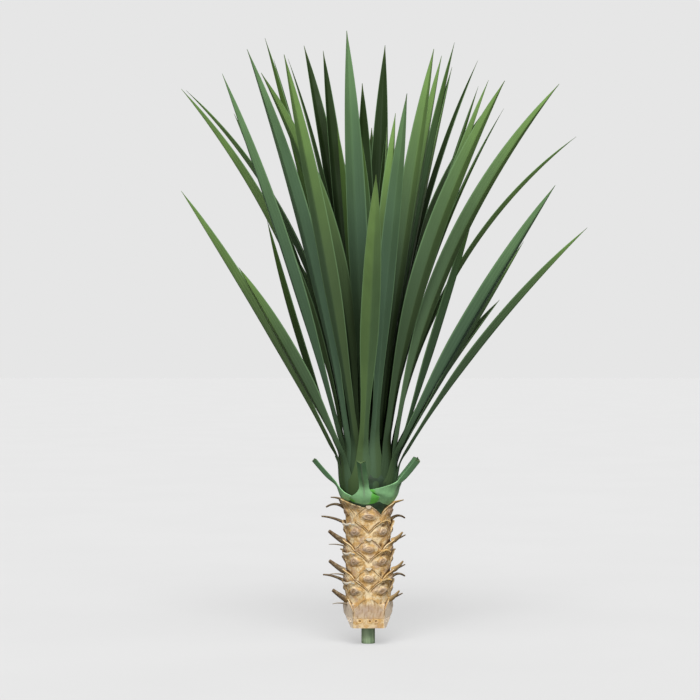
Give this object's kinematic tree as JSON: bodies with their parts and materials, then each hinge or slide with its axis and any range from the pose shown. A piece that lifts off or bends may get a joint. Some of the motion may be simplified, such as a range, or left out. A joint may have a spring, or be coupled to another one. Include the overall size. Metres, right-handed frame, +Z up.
{
  "type": "artificial yucca plant",
  "caption": "Artificial yucca: a round head of long keeled green leaves in a moulded heart, on a short scaly trunk over a planting post.",
  "frame": {"origin": "centre of the flat underside of the planting post", "axes": "+Z up the trunk towards the crown, -Y towards the viewer, +X to the viewer's right"},
  "size_m": [0.5977, 0.5324, 0.9133],
  "materials": {
    "leaf": "satin moulded leaf plastic",
    "heart": "matt moulded leaf plastic",
    "trunk": "matt, washed with brown",
    "post": "matt"
  },
  "bodies": {
    "root": {"planting_post": "post", "trunk_foot": "trunk", "scale_ring_lower": "trunk", "scale_ring_upper": "trunk", "crown_collar": "trunk", "leaf_heart": "heart", "leaf_01": "leaf", "leaf_02": "leaf", "leaf_03": "leaf", "leaf_04": "leaf", "leaf_05": "leaf", "leaf_06": "leaf", "leaf_07": "leaf", "leaf_08": "leaf", "leaf_09": "leaf", "leaf_10": "leaf", "leaf_11": "leaf", "leaf_12": "leaf", "leaf_13": "leaf", "leaf_14": "leaf", "leaf_15": "leaf", "leaf_16": "leaf", "leaf_17": "leaf", "leaf_18": "leaf", "leaf_19": "leaf", "leaf_20": "leaf", "leaf_21": "leaf", "leaf_22": "leaf", "leaf_23": "leaf", "leaf_24": "leaf", "leaf_25": "leaf", "leaf_26": "leaf", "leaf_27": "leaf", "leaf_28": "leaf", "leaf_29": "leaf", "leaf_30": "leaf", "leaf_31": "leaf", "leaf_32": "leaf", "leaf_33": "leaf", "leaf_34": "leaf", "leaf_35": "leaf", "leaf_36": "leaf", "leaf_37": "leaf", "leaf_38": "leaf", "leaf_39": "leaf", "leaf_40": "leaf", "leaf_41": "leaf", "leaf_42": "leaf", "leaf_43": "leaf", "leaf_44": "leaf", "leaf_45": "leaf", "leaf_46": "leaf", "leaf_47": "leaf", "leaf_48": "leaf", "leaf_49": "leaf"}
  },
  "joints": []
}
